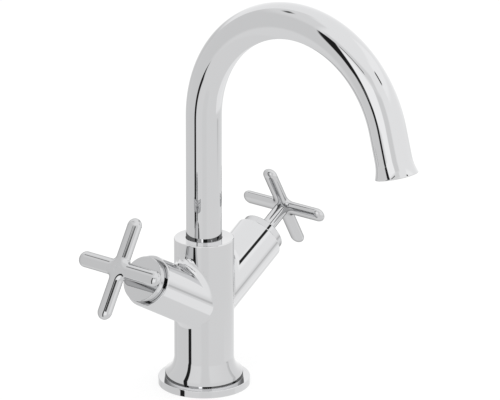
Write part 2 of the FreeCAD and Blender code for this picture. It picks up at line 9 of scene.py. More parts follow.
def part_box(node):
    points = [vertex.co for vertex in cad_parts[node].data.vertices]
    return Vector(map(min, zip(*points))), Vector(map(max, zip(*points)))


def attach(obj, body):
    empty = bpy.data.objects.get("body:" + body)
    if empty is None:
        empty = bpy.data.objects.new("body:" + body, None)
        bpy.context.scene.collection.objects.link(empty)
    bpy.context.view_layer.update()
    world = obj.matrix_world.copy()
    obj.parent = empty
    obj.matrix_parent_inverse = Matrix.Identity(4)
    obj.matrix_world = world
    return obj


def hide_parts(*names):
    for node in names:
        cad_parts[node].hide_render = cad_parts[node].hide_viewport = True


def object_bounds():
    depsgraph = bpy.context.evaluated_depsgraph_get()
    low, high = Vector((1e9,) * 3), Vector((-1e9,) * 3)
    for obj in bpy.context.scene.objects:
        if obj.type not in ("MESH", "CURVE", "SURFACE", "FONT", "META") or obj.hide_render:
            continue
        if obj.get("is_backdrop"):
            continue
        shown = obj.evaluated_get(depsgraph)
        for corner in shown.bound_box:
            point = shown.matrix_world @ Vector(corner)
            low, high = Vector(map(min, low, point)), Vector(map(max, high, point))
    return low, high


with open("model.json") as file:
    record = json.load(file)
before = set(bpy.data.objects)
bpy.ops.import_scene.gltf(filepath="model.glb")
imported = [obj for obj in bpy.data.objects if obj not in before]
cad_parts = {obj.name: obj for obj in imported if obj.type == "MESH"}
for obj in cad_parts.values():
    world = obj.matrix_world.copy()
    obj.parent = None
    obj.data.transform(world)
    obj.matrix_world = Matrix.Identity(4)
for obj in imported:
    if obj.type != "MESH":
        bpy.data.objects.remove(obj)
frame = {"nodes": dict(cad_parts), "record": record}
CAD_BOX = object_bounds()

# Looks of a two-handle bathroom mixer faucet with a swan-neck spout and cross handles.
# Lengths are in metres. +Z is up, the spout reaches towards -Y and the hot handle is on -X.

bl_info = {
    "name": "Swan-neck mixer faucet",
    "version": (1, 0, 0),
    "blender": (4, 5, 0),
    "location": "3D View > Sidebar > Faucet",
    "description": "Builds the polished pieces, finishes and studio of a bathroom mixer faucet",
    "category": "Add Mesh",
}

# How finely round shapes are cut
TURN_STEPS = 144  # once round
BEND_STEPS = 120  # along the spout's bend
TIP_STEPS = 48  # round the tip of a rod
CORNER_STEPS = 24  # round an inner corner between two rods
FLARE_STEPS = 24  # along a flare
ARC_STEPS = 8  # along any other rounding
HOLE_STEPS = 32  # round a screw's hole
HOLD = 0.00015  # straight runs keep a line of points this near to each of their ends
TOUCH = HOLD / 10  # points nearer than this to a wall or a flat lie on it
WELD = 0.000004  # points nearer than this are one point
SHARP_ANGLE = radians(28)  # edges that turn further than this are sharp

# Shading that leaves the true slopes, to steer what the chrome mirrors
FLARE_LEAN = radians(6)  # how far up the foot's flare seems to look at most
ARM_DIP = radians(24)  # how far down the undersides of the arms seem to look at most
BEND_DIP = radians(14)  # how far down the underside of the spout's bend seems to look at most
PLATE_LEAN = radians(95)  # flat tops seem to lean this far up from outward, just past the upright

# Studio
HORIZON = (-14.0, -2.0)  # elevations between which the low walls turn into the high ones, in degrees
TWO_MIRRORS = 2.5  # a ray that is deeper than this has left two mirrors behind
FLOOR_REACH = 6.0  # from the faucet to the floor's edges
FLOOR_GAP = 0.0001  # how far the floor lies under the faucet
WHITE_SHARE = 0.8  # how much of the floor is plain white to the camera


def length(name, description, default):
    """A length that the user can change."""
    return bpy.props.FloatProperty(
        name=name, description=description, default=default, min=0.0, precision=5,
        subtype="DISTANCE", unit="LENGTH")


def angle(name, description, degrees):
    """An angle that the user can change."""
    return bpy.props.FloatProperty(
        name=name, description=description, default=radians(degrees), subtype="ANGLE", unit="ROTATION")


def colour(name, description, default):
    """A surface colour that the user can change."""
    return bpy.props.FloatVectorProperty(
        name=name, description=description, default=default, size=4, min=0.0, max=1.0, subtype="COLOR")


def share(name, description, default, most=1.0):
    """A plain number that the user can change."""
    return bpy.props.FloatProperty(name=name, description=description, default=default, min=0.0, max=most)


class FaucetBodySizes(bpy.types.PropertyGroup):
    """Sizes of the column, base ring and arms."""

    column_radius: length("Column radius", "Radius of the upright column", 0.0185)
    column_top: length("Column top", "Height of the column above the deck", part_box("mixer_body")[1][2])
    column_edge: length("Column edge", "Rounding of the column's upper edge", 0.0008)
    socket_radius: length("Spout socket", "Radius of the opening that the spout stands in", 0.0113)
    socket_depth: length("Spout socket depth", "Depth of the opening that the spout stands in", 0.008)
    foot_radius: length("Foot radius", "Radius of the column's foot", 0.0241)
    foot_wall: length("Foot wall", "Height of the upright wall under the flare", 0.0039)
    foot_flare: length("Foot flare", "Radius of the hollow flare above the foot", 0.0115)
    ring_radius: length("Ring radius", "Radius of the base ring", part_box("base_ring")[1][0])
    ring_height: length("Ring height", "Height of the base ring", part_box("base_ring")[1][2])
    ring_opening: length("Ring opening", "Radius of the opening in the base ring", 0.016)
    ring_edge: length("Ring edge", "Rounding of the base ring's upper edge", 0.0005)
    seal_low: length("Seal groove inner radius", "Inner radius of the groove for the base seal", 0.0215)
    seal_high: length("Seal groove outer radius", "Outer radius of the groove for the base seal", 0.0245)
    seal_depth: length("Seal groove depth", "Depth of the groove for the base seal", 0.0015)
    arm_radius: length("Arm radius", "Radius of each arm", 0.01595)
    arm_rise: angle("Arm rise", "Slope of the arms above the deck", 30.0)
    arm_crossing: length("Arm crossing", "Height where the arms' axes meet the column's axis", 0.0505)
    arm_length: length("Arm length", "From the crossing to the arm's end", 0.0608)
    arm_edge: length("Arm edge", "Rounding of the arm's end", 0.0007)
    arm_blend: length("Arm blend", "Radius of the hollow between arm and column", 0.0055)
    arm_bore: length("Arm bore", "Radius of the bore for the valve", 0.0115)
    arm_bore_depth: length("Arm bore depth", "Depth of the bore for the valve", 0.0308)


class FaucetSpoutSizes(bpy.types.PropertyGroup):
    """Sizes of the swan-neck spout."""

    tube_radius: length("Tube radius", "Outer radius of the tube", 0.011)
    tube_wall: length("Tube wall", "Thickness of the tube's wall", 0.0015)
    tube_foot: length("Tube foot", "Height of the tube's lower end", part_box("spout_tube")[0][2])
    bend_start: length("Bend start", "Height where the bend begins", 0.1727)
    bend_radius: length("Bend radius", "Radius of the bend's centre line", 0.0711)
    bend_angle: angle("Bend angle", "How far the bend turns", 164.8)
    outlet_straight: length("Outlet straight", "Straight length after the bend", 0.017)
    outlet_flare: length("Outlet flare", "Length of the flared mouth", 0.0105)
    outlet_spread: length("Outlet spread", "How far the rim stands out past the tube", 0.0021)
    outlet_edge: length("Outlet edge", "Rounding of the rim", 0.0005)
    socket_radius: length("Aerator socket", "Radius of the socket for the aerator", 0.0102)
    socket_depth: length("Aerator socket depth", "Depth of the socket for the aerator", 0.0135)


class FaucetHandleSizes(bpy.types.PropertyGroup):
    """Sizes of the handles' hubs, stems and crosses."""

    hub_gap: length("Hub gap", "Gap between the arm's end and the hub", 0.0003)
    hub_radius: length("Hub radius", "Radius of the hub", 0.014)
    hub_thickness: length("Hub thickness", "Thickness of the hub", 0.0049)
    hub_edge: length("Hub edge", "Rounding of the hub's outer edge", 0.0006)
    hub_bore: length("Hub bore", "Radius of the opening for the spindle", 0.004)
    hub_screw: length("Hub screw", "Radius of the grub screw's hole in the hub's lower side", 0.0015)
    stem_radius: length("Stem radius", "Radius of the stem under the cross", 0.00435)
    cross_station: length("Cross station", "From the arms' crossing to the cross's centre", 0.0892)
    rod_reach: length("Rod reach", "From the cross's centre to a rod's tip", 0.0318)
    rod_width: length("Rod width", "Width of a rod across the cross", 0.00975)
    rod_thickness: length("Rod thickness", "Thickness of a rod along the stem", 0.0064)
    corner_radius: length("Corner radius", "Radius of the inner corners between rods", 0.0025)


class FaucetFinishes(bpy.types.PropertyGroup):
    """Colours of the finishes."""

    chrome: colour("Chrome", "Polished chrome plate", (0.62, 0.62, 0.625, 1.0))
    chrome_cool: colour("Chrome, cool", "Faint cool drift in the chrome plate", (0.60, 0.605, 0.615, 1.0))
    # Painted shade: the handles' chrome is the body's chrome made darker by this factor
    handle_painted_shade: share("Handle depth", "Tone of the handles' chrome against the body's", 0.94)
    # Painted shade on the handles' glancing edges: below 1 their chrome mirrors less there
    handle_painted_edge_shade: share("Handle edge", "How much of a glancing view the handles' chrome mirrors", 0.45)
    brass: colour("Brass", "Machined brass", (0.70, 0.52, 0.22, 1.0))
    steel: colour("Steel", "Plain steel", (0.50, 0.50, 0.51, 1.0))
    rubber: colour("Rubber", "Black rubber", (0.022, 0.022, 0.023, 1.0))
    ceramic: colour("Ceramic", "Lapped ceramic", (0.86, 0.85, 0.80, 1.0))
    plastic: colour("Plastic", "Moulded plastic", (0.74, 0.74, 0.72, 1.0))
    floor: colour("Floor", "Pale studio floor", (0.92, 0.92, 0.92, 1.0))


class FaucetStudio(bpy.types.PropertyGroup):
    """Camera and lighting of the studio."""

    azimuth: angle("Azimuth", "Turn of the camera round the faucet", -50.325)
    elevation: angle("Elevation", "Height of the camera above the horizon", 18.481)
    roll: angle("Roll", "Tilt of the camera about its own axis", 0.186)
    distance: length("Distance", "From the camera to the point it looks at", 2.093825)
    aim_side: length("Aim to the side", "How far right of the column the camera looks", 0.028091)
    aim_height: length("Aim height", "How high above the deck the camera looks", 0.118770)
    lens: bpy.props.FloatProperty(
        name="Lens", description="Focal length on a 36 mm sensor", default=247.34, min=1.0,
        subtype="DISTANCE_CAMERA")
    low_walls: share("Low walls", "Brightness of the studio below the faucet", 1.0, 4.0)
    high_walls: share("High walls", "Brightness of the studio above the faucet", 1.2, 4.0)


# Mesh helpers

def arc_points(centre, start, end, steps=ARC_STEPS):
    """Points of the short arc about a centre from start to end, both included."""
    centre = Vector(centre)
    first = Vector(start) - centre
    last = Vector(end) - centre
    turns = [first.slerp(last, step / steps).normalized() for step in range(steps + 1)]
    return [centre + turn * first.length for turn in turns]


def outline(corners):
    """(radius, height) points through corners given as (radius, height, rounding)."""
    points = []
    for index, (radius, height, rounding) in enumerate(corners):
        corner = Vector((radius, height))
        if index == 0 or index == len(corners) - 1:
            points.append(corner)
            continue
        before = (Vector(corners[index - 1][:2]) - corner).normalized()
        after = (Vector(corners[index + 1][:2]) - corner).normalized()
        if rounding == 0.0:
            points += [corner + before * HOLD, corner, corner + after * HOLD]
            continue
        half = acos(max(-1.0, min(1.0, before.dot(after)))) / 2
        run = rounding / tan(half)
        centre = corner + (before + after).normalized() * (rounding / sin(half))
        points.append(corner + before * (run + HOLD))
        points += arc_points(centre, corner + before * run, corner + after * run)
        points.append(corner + after * (run + HOLD))
    return points


def turned(points):
    """Mesh turned about Z from (radius, height) points."""
    mesh = bmesh.new()
    ends = [mesh.verts.new((radius, 0.0, height)) for radius, height in points]
    lines = [mesh.edges.new(pair) for pair in zip(ends, ends[1:])]
    bmesh.ops.spin(mesh, geom=ends + lines, axis=(0, 0, 1), cent=(0, 0, 0), angle=2 * pi,
                   steps=TURN_STEPS, use_merge=True)
    weld(mesh)
    return mesh


def weld(mesh):
    """Merges points that meet and points all faces outwards."""
    bmesh.ops.remove_doubles(mesh, verts=mesh.verts, dist=WELD)
    bmesh.ops.recalc_face_normals(mesh, faces=mesh.faces)


def open_edges(mesh):
    """The edges round a mesh's openings."""
    return [edge for edge in mesh.edges if edge.is_boundary]


def extruded(mesh, edges, move):
    """Runs edges on to new places, where move gives each point's place, and returns the new edges."""
    grown = bmesh.ops.extrude_edge_only(mesh, edges=edges)["geom"]
    for vert in grown:
        if isinstance(vert, bmesh.types.BMVert):
            vert.co = move(vert.co)
    return [edge for edge in grown if isinstance(edge, bmesh.types.BMEdge)]


def joined(target, source, place=Matrix.Identity(4)):
    """Adds one mesh to another at the given place, and frees it."""
    source.transform(place)
    carrier = bpy.data.meshes.new("carrier")
    source.to_mesh(carrier)
    source.free()
    target.from_mesh(carrier)
    bpy.data.meshes.remove(carrier)
    return target


def drilled(mesh, radius, start, end):
    """The mesh with a round hole cut from start to end."""
    along = end - start
    drill = bmesh.new()
    bmesh.ops.create_cone(drill, cap_ends=True, segments=HOLE_STEPS, radius1=radius, radius2=radius,
                          depth=along.length)
    turn = along.to_track_quat("Z", "Y").to_matrix().to_4x4()
    drill.transform(Matrix.Translation((start + end) / 2) @ turn)
    blank = new_item("blank", mesh)
    cut = blank.modifiers.new("hole", "BOOLEAN")
    cut.object = new_item("drill", drill)
    cut.use_hole_tolerant = True
    result = bmesh.new()
    result.from_object(blank, bpy.context.evaluated_depsgraph_get())
    for item in (cut.object, blank):
        bpy.data.meshes.remove(item.data)
    return result


def new_item(name, mesh):
    """Puts the mesh into the scene as an object, and frees it."""
    data = bpy.data.meshes.new(name)
    mesh.to_mesh(data)
    mesh.free()
    item = bpy.data.objects.new(name, data)
    bpy.context.scene.collection.objects.link(item)
    return item


def piece(name, mesh, finish, body, nodes):
    """Makes the mesh an object that stands for CAD nodes and moves with a body."""
    item = new_item(name, mesh)
    item.data.shade_smooth()
    item.data.set_sharp_from_angle(angle=SHARP_ANGLE)
    item.data.materials.append(finish)
    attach(item, body)
    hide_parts(*nodes)
    return item


# Places

def arm_place(sizes, side):
    """Place whose Z runs along an arm from the crossing: side is -1 for hot and 1 for cold."""
    turn = Matrix.Rotation(0.0 if side < 0 else pi, 4, "Z")
    lift = Matrix.Translation((0, 0, sizes.arm_crossing))
    return lift @ turn @ Matrix.Rotation(sizes.arm_rise - pi / 2, 4, "Y")


def outlet_place(sizes):
    """Place whose Z leaves the end of the bend, along the tube."""
    pivot = Vector((0, -sizes.bend_radius, sizes.bend_start))
    turn = Matrix.Rotation(sizes.bend_angle, 4, "X")
    return Matrix.Translation(pivot) @ turn @ Matrix.Translation((0, sizes.bend_radius, 0))


SIDES = {"hot": -1, "cold": 1}


# Shading

def leaning(outward, lean):
    """Direction that leans up from the outward one by an angle."""
    return outward * cos(lean) + Vector((0.0, 0.0, sin(lean)))


def held_up(slope, dip):
    """Direction that a slope under an overhang shows, or None where it doesn't look down past the dip."""
    if slope.z > -sin(dip):
        return None
    sideways = Vector((slope.x, slope.y, 0.0)).normalized()
    return leaning(sideways, -dip)


def shaded(data, normal_at):
    """Sets a mesh's shading by a function of place and slope, which gives None where the slope stays."""
    normals = []
    for vert in data.vertices:
        outward = Vector((vert.co.x, vert.co.y, 0.0))
        radius = outward.length
        normals.append(normal_at(outward.normalized(), radius, vert.co.z, vert.normal) or Vector())
    data.normals_split_custom_set_from_vertices(normals)


def shade_body(data, sizes):
    """Turns the shading of the flare, the arms' undersides and the column's top off their true slopes.

    The column's wall is shaded as if the screw's hole weren't there."""
    foot_top = sizes.ring_height + sizes.foot_wall
    flare_level = foot_top + sizes.foot_flare
    top_radius = sizes.column_radius - sizes.column_edge + HOLD

    def normal_at(outward, radius, height, slope):
        if foot_top - TOUCH < height < flare_level and radius > sizes.column_radius - HOLD:
            return leaning(outward, min(slope.angle(outward), FLARE_LEAN))
        if height > sizes.column_top - TOUCH and radius < top_radius:
            return leaning(outward, PLATE_LEAN)
        if height > flare_level and radius > sizes.column_radius + HOLD:
            return held_up(slope, ARM_DIP)
        if height > flare_level and radius > sizes.column_radius - TOUCH:
            return outward
        return None

    shaded(data, normal_at)


def shade_ring(data, sizes):
    """Turns the shading of the base ring's top off its true slope."""
    top_radius = sizes.ring_radius - sizes.ring_edge + HOLD

    def normal_at(outward, radius, height, slope):
        on_top = height > sizes.ring_height - TOUCH and radius < top_radius
        return leaning(outward, PLATE_LEAN) if on_top else None

    shaded(data, normal_at)


def shade_spout(data, sizes):
    """Turns the shading of the bend's underside off its true slope."""
    def normal_at(outward, radius, height, slope):
        return held_up(slope, BEND_DIP) if height > sizes.bend_start else None

    shaded(data, normal_at)


# Column, base ring and arms

def column_mesh(sizes):
    """Column with its flare, foot and the opening that the spout stands in."""
    flare_centre_radius = sizes.column_radius + sizes.foot_flare
    across = flare_centre_radius - sizes.foot_radius
    foot_top = sizes.ring_height + sizes.foot_wall
    flare_top = foot_top + sqrt(sizes.foot_flare ** 2 - across ** 2)
    flare = arc_points((flare_centre_radius, flare_top), (sizes.foot_radius, foot_top),
                       (sizes.column_radius, flare_top), FLARE_STEPS)
    foot = outline([
        (sizes.ring_opening, sizes.ring_height, 0.0),
        (sizes.foot_radius, sizes.ring_height, 0.0),
        (sizes.foot_radius, foot_top, 0.0),
    ])
    top = outline([
        (sizes.column_radius, flare_top + HOLD, 0.0),
        (sizes.column_radius, sizes.column_top, sizes.column_edge),
        (sizes.socket_radius, sizes.column_top, 0.0),
        (sizes.socket_radius, sizes.column_top - sizes.socket_depth, 0.0),
        (0.0, sizes.column_top - sizes.socket_depth, 0.0),
    ])
    return turned(foot + flare + top)


def stop_screw_hole(sizes):
    """Radius, start and end of the stop screw's hole, from the column's axis out through its back."""
    low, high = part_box("spout_stop_screw")
    radius = (high[2] - low[2]) / 2
    start = Vector((0.0, 0.0, low[2] + radius))
    return radius, start, start + Vector((0.0, 2 * sizes.column_radius, 0.0))


def arm_mesh(sizes):
    """One arm along Z from the column's wall to its rounded end, with the hollow blend at its root."""
    floor = sizes.arm_length - sizes.arm_bore_depth
    root = sizes.arm_length - 2 * sizes.arm_edge
    mesh = turned(outline([
        (0.0, floor, 0.0),
        (sizes.arm_bore, floor, 0.0),
        (sizes.arm_bore, sizes.arm_length, 0.0),
        (sizes.arm_radius, sizes.arm_length, sizes.arm_edge),
        (sizes.arm_radius, root, 0.0),
    ]))
    edges = open_edges(mesh)
    for step in range(ARC_STEPS + 1):
        edges = extruded(mesh, edges, lambda point: blend_point(sizes, point, step / ARC_STEPS))
    weld(mesh)
    return mesh


def blend_point(sizes, point, share_of_arc):
    """Point on the blend between arm (share 0) and column (share 1), on the same side of the arm as point.

    The blend is the hollow left by a ball that rolls round the joint and touches both walls."""
    outward = Vector((point.x, point.y, 0.0)).normalized()
    column_axis = Vector((cos(sizes.arm_rise), 0.0, sin(sizes.arm_rise)))
    along = Vector((0.0, 0.0, 1.0))
    side = outward * (sizes.arm_radius + sizes.arm_blend)
    side_off_axis = side - column_axis * side.dot(column_axis)
    along_off_axis = along - column_axis * along.dot(column_axis)
    reach = sizes.column_radius + sizes.arm_blend
    square = along_off_axis.length_squared
    middle = side_off_axis.dot(along_off_axis) / square
    spare = (side_off_axis.length_squared - reach ** 2) / square
    ball = side + along * (sqrt(middle ** 2 - spare) - middle)
    to_arm = -outward
    to_column = -(ball - column_axis * ball.dot(column_axis)).normalized()
    return ball + to_arm.slerp(to_column, share_of_arc) * sizes.arm_blend


class FAUCET_OT_body(bpy.types.Operator):
    """Build the column with its two arms"""

    bl_idname = "faucet.body"
    bl_label = "Column and arms"

    def execute(self, context):
        sizes = context.scene.faucet_body
        mesh = drilled(column_mesh(sizes), *stop_screw_hole(sizes))
        for side in SIDES.values():
            joined(mesh, arm_mesh(sizes), arm_place(sizes, side))
        item = piece("polished_body", mesh, chrome_finish(), "body", ["mixer_body"])
        shade_body(item.data, sizes)
        return {"FINISHED"}


class FAUCET_OT_base_ring(bpy.types.Operator):
    """Build the ring under the column's foot"""

    bl_idname = "faucet.base_ring"
    bl_label = "Base ring"

    def execute(self, context):
        sizes = context.scene.faucet_body
        mesh = turned(outline([
            (sizes.ring_opening, sizes.ring_height, 0.0),
            (sizes.ring_radius, sizes.ring_height, sizes.ring_edge),
            (sizes.ring_radius, 0.0, 0.0),
            (sizes.seal_high, 0.0, 0.0),
            (sizes.seal_high, sizes.seal_depth, 0.0),
            (sizes.seal_low, sizes.seal_depth, 0.0),
            (sizes.seal_low, 0.0, 0.0),
            (sizes.ring_opening, 0.0, 0.0),
            (sizes.ring_opening, sizes.ring_height, 0.0),
        ]))
        item = piece("polished_base_ring", mesh, chrome_finish(), "body", ["base_ring"])
        shade_ring(item.data, sizes)
        return {"FINISHED"}


# Spout

def neck_mesh(sizes):
    """Riser and bend of the spout's outer wall."""
    mesh = bmesh.new()
    bmesh.ops.create_circle(mesh, segments=TURN_STEPS, radius=sizes.tube_radius)
    bmesh.ops.translate(mesh, verts=mesh.verts, vec=(0, 0, sizes.tube_foot))
    edges = list(mesh.edges)
    for height in (sizes.bend_start - sizes.tube_wall, sizes.bend_start):
        edges = extruded(mesh, edges, lambda point: Vector((point.x, point.y, height)))
    ring = edges + list({vert for edge in edges for vert in edge.verts})
    bmesh.ops.spin(mesh, geom=ring, axis=(1, 0, 0), cent=(0, -sizes.bend_radius, sizes.bend_start),
                   angle=sizes.bend_angle, steps=BEND_STEPS)
    return mesh


def outlet_mesh(sizes):
    """Straight end of the spout, its flared mouth and the socket inside it, along Z from the bend's end."""
    wall = sizes.tube_radius
    straight = sizes.outlet_straight
    spread = sizes.outlet_spread
    curve = (sizes.outlet_flare ** 2 + spread ** 2) / (2 * spread)
    end = straight + sizes.outlet_flare
    rim = wall + spread
    lip = end - 2 * sizes.outlet_edge
    flare = arc_points((wall + curve, straight), (wall, straight), (rim, end), FLARE_STEPS)
    outside = [Vector((wall, 0.0)), Vector((wall, HOLD))]
    outside += [point for point in flare if point.y < lip]
    bore = wall - sizes.tube_wall
    step = end - sizes.socket_depth
    inside = outline([
        tuple(outside[-1]) + (0.0,),
        (rim, end, sizes.outlet_edge),
        (sizes.socket_radius, end, 0.0),
        (sizes.socket_radius, step, 0.0),
        (bore, step, 0.0),
        (bore, 0.0, 0.0),
    ])
    return turned(outside + inside)


class FAUCET_OT_spout(bpy.types.Operator):
    """Build the swan-neck spout"""

    bl_idname = "faucet.spout"
    bl_label = "Spout"

    def execute(self, context):
        sizes = context.scene.faucet_spout
        mesh = joined(neck_mesh(sizes), outlet_mesh(sizes), outlet_place(sizes))
        weld(mesh)
        item = piece("polished_spout", mesh, chrome_finish(), "spout", ["spout_tube"])
        shade_spout(item.data, sizes)
        return {"FINISHED"}


# Handles

def hub_mesh(sizes, low):
    """Hub along an arm from the station low, with the grub screw's hole in its lower side."""
    high = low + sizes.hub_thickness
    mesh = turned(outline([
        (sizes.hub_bore, low, 0.0),
        (sizes.hub_radius, low, 0.0),
        (sizes.hub_radius, high, sizes.hub_edge),
        (sizes.hub_bore, high, 0.0),
        (sizes.hub_bore, low, 0.0),
    ]))
    middle = Vector((0.0, 0.0, (low + high) / 2))
    below = middle - Vector((2 * sizes.hub_radius, 0.0, 0.0))
    return drilled(mesh, sizes.hub_screw, middle, below)


class FAUCET_OT_hubs(bpy.types.Operator):
    """Build the hub that covers the end of each arm"""

    bl_idname = "faucet.hubs"
    bl_label = "Handle hubs"

    def execute(self, context):
        body = context.scene.faucet_body
        sizes = context.scene.faucet_handles
        for name, side in SIDES.items():
            mesh = hub_mesh(sizes, body.arm_length + sizes.hub_gap)
            mesh.transform(arm_place(body, side))
            piece(f"polished_{name}_hub", mesh, painted_shade_handle_finish(), f"{name}_handle",
                  [f"{name}_handle_hub"])
        return {"FINISHED"}


def circle_across_x():
    """Circle of radius 1 that stands across X."""
    mesh = bmesh.new()
    bmesh.ops.create_circle(mesh, segments=TURN_STEPS, radius=1.0)
    bmesh.ops.rotate(mesh, verts=mesh.verts, cent=(0, 0, 0), matrix=Matrix.Rotation(pi / 2, 3, "Y"))
    return mesh


def half_rod_mesh(sizes):
    """Half of an oval rod along X from the cross's centre to its rounded tip."""
    half_width = sizes.rod_width / 2
    half_thickness = sizes.rod_thickness / 2
    straight = sizes.rod_reach - half_width
    mesh = circle_across_x()
    bmesh.ops.bisect_plane(mesh, geom=mesh.verts[:] + mesh.edges[:], plane_co=(0, 0, 0), plane_no=(0, 1, 0),
                           clear_outer=True)
    bmesh.ops.spin(mesh, geom=mesh.verts[:] + mesh.edges[:], axis=(0, 0, 1), cent=(0, 0, 0), angle=pi,
                   steps=TIP_STEPS)
    bmesh.ops.scale(mesh, verts=mesh.verts, vec=(half_width, half_width, half_thickness))
    bmesh.ops.translate(mesh, verts=mesh.verts, vec=(straight, 0, 0))
    bmesh.ops.remove_doubles(mesh, verts=mesh.verts, dist=WELD)
    edges = open_edges(mesh)
    for station in (straight - HOLD, 0.0):
        edges = extruded(mesh, edges, lambda point: Vector((station, point.y, point.z)))
    weld(mesh)
    return mesh


def corner_mesh(sizes):
    """Quarter bend of the oval that rounds one inner corner between two rods."""
    half_width = sizes.rod_width / 2
    half_thickness = sizes.rod_thickness / 2
    bend = half_width + sizes.corner_radius
    mesh = circle_across_x()
    bmesh.ops.scale(mesh, verts=mesh.verts, vec=(1, half_width - WELD, half_thickness - WELD))
    bmesh.ops.translate(mesh, verts=mesh.verts, vec=(bend, 0, 0))
    bmesh.ops.spin(mesh, geom=mesh.verts[:] + mesh.edges[:], axis=(0, 0, 1), cent=(bend, bend, 0),
                   angle=-pi / 2, steps=CORNER_STEPS)
    weld(mesh)
    return mesh


class FAUCET_OT_crosses(bpy.types.Operator):
    """Build the cross handles on their stems"""

    bl_idname = "faucet.crosses"
    bl_label = "Cross handles"

    def execute(self, context):
        body = context.scene.faucet_body
        sizes = context.scene.faucet_handles
        hub_top = body.arm_length + sizes.hub_gap + sizes.hub_thickness
        for name, side in SIDES.items():
            mesh = bmesh.new()
            for quarter in range(4):
                place = Matrix.Rotation(quarter * pi / 2, 4, "Z")
                joined(mesh, half_rod_mesh(sizes), place)
                joined(mesh, corner_mesh(sizes), place)
            bmesh.ops.remove_doubles(mesh, verts=mesh.verts, dist=WELD)
            stem = turned(outline([
                (sizes.stem_radius, hub_top - sizes.cross_station, 0.0),
                (sizes.stem_radius, 0.0, 0.0),
            ]))
            joined(mesh, stem)
            mesh.transform(arm_place(body, side) @ Matrix.Translation((0, 0, sizes.cross_station)))
            piece(f"polished_{name}_cross", mesh, painted_shade_handle_finish(), f"{name}_handle",
                  [f"{name}_cross_handle"])
        return {"FINISHED"}


# Finishes

def new_finish(name):
    """Empty material with a shader, and its node tree."""
    material = bpy.data.materials.get(name) or bpy.data.materials.new(name)
    material.use_nodes = True
    material.node_tree.nodes.clear()
    tree = material.node_tree
    shader = tree.nodes.new("ShaderNodeBsdfPrincipled")
    output = tree.nodes.new("ShaderNodeOutputMaterial")
    tree.links.new(shader.outputs["BSDF"], output.inputs["Surface"])
    return material, tree, shader


def noise(tree, scale, detail, stretch=(1.0, 1.0, 1.0)):
    """Noise on Object coordinates, and the socket that carries it."""
    place = tree.nodes.new("ShaderNodeTexCoord")
    mapping = tree.nodes.new("ShaderNodeMapping")
    mapping.inputs["Scale"].default_value = stretch
    texture = tree.nodes.new("ShaderNodeTexNoise")
    texture.inputs["Scale"].default_value = scale
    texture.inputs["Detail"].default_value = detail
    tree.links.new(place.outputs["Object"], mapping.inputs["Vector"])
    tree.links.new(mapping.outputs["Vector"], texture.inputs["Vector"])
    return texture.outputs["Fac"]


def between(tree, socket, low, high):
    """The socket's 0 to 1 brought to low to high."""
    spread = tree.nodes.new("ShaderNodeMapRange")
    spread.inputs["To Min"].default_value = low
    spread.inputs["To Max"].default_value = high
    tree.links.new(socket, spread.inputs["Value"])
    return spread.outputs["Result"]


def two_tone(tree, socket, first, second):
    """Colour that runs from first to second with the socket."""
    mix = tree.nodes.new("ShaderNodeMix")
    mix.data_type = "RGBA"
    mix.inputs["A"].default_value = first
    mix.inputs["B"].default_value = second
    tree.links.new(socket, mix.inputs["Factor"])
    return mix.outputs["Result"]


def bump(tree, shader, socket, height):
    """Raises the surface with the socket, by a height in metres."""
    node = tree.nodes.new("ShaderNodeBump")
    node.inputs["Strength"].default_value = 1.0
    node.inputs["Distance"].default_value = height
    tree.links.new(socket, node.inputs["Height"])
    tree.links.new(node.outputs["Normal"], shader.inputs["Normal"])


def darker(tone, factor):
    """The colour made darker by a factor."""
    return tuple(channel * factor for channel in tone[:3]) + (1.0,)


def chrome_finish():
    """Polished chrome of the body and the spout."""
    finishes = bpy.context.scene.faucet_finishes
    return plated_finish("polished_chrome", finishes.chrome, finishes.chrome_cool, edge=1.0)


def painted_shade_handle_finish():
    """Polished chrome of the handles with painted shade: a darker copy of the body's chrome, darker still
    at glancing edges.
    """
    finishes = bpy.context.scene.faucet_finishes
    # painted shade: the handles' tones are the body's chrome tones made darker
    tone = darker(finishes.chrome, finishes.handle_painted_shade)
    drift_tone = darker(finishes.chrome_cool, finishes.handle_painted_shade)
    return plated_finish("handle_chrome_painted_shade", tone, drift_tone, finishes.handle_painted_edge_shade)


def plated_finish(name, tone, drift_tone, edge):
    """Mirror plate with a faint drift in tone and polish.

    Edge is how much of a glancing view it mirrors; below 1 it paints shade on the glancing edges."""
    if name in bpy.data.materials:
        return bpy.data.materials[name]
    material, tree, shader = new_finish(name)
    shader.inputs["Metallic"].default_value = 1.0
    shader.inputs["Specular Tint"].default_value = (edge, edge, edge, 1.0)
    drift = noise(tree, scale=14.0, detail=2.0)
    tree.links.new(two_tone(tree, drift, tone, drift_tone), shader.inputs["Base Color"])
    polish = noise(tree, scale=220.0, detail=3.0)
    tree.links.new(between(tree, polish, low=0.012, high=0.03), shader.inputs["Roughness"])
    return material


def machined_finish(name, tone, roughness):
    """Machined metal: fine turning marks in colour, polish and height."""
    material, tree, shader = new_finish(name)
    shader.inputs["Metallic"].default_value = 1.0
    marks = noise(tree, scale=900.0, detail=4.0, stretch=(0.15, 0.15, 1.0))
    dark_tone = darker(tone, factor=0.8)
    tree.links.new(two_tone(tree, marks, dark_tone, tone), shader.inputs["Base Color"])
    polish = between(tree, marks, low=roughness - 0.08, high=roughness + 0.12)
    tree.links.new(polish, shader.inputs["Roughness"])
    bump(tree, shader, marks, height=0.00002)
    return material


def moulded_finish(name, tone, roughness, grain, height):
    """Moulded or pressed stuff: fine grain in colour, polish and height."""
    material, tree, shader = new_finish(name)
    specks = noise(tree, scale=grain, detail=5.0)
    dark_tone = darker(tone, factor=0.75)
    tree.links.new(two_tone(tree, specks, dark_tone, tone), shader.inputs["Base Color"])
    polish = between(tree, specks, low=roughness - 0.1, high=roughness + 0.1)
    tree.links.new(polish, shader.inputs["Roughness"])
    bump(tree, shader, specks, height)
    return material


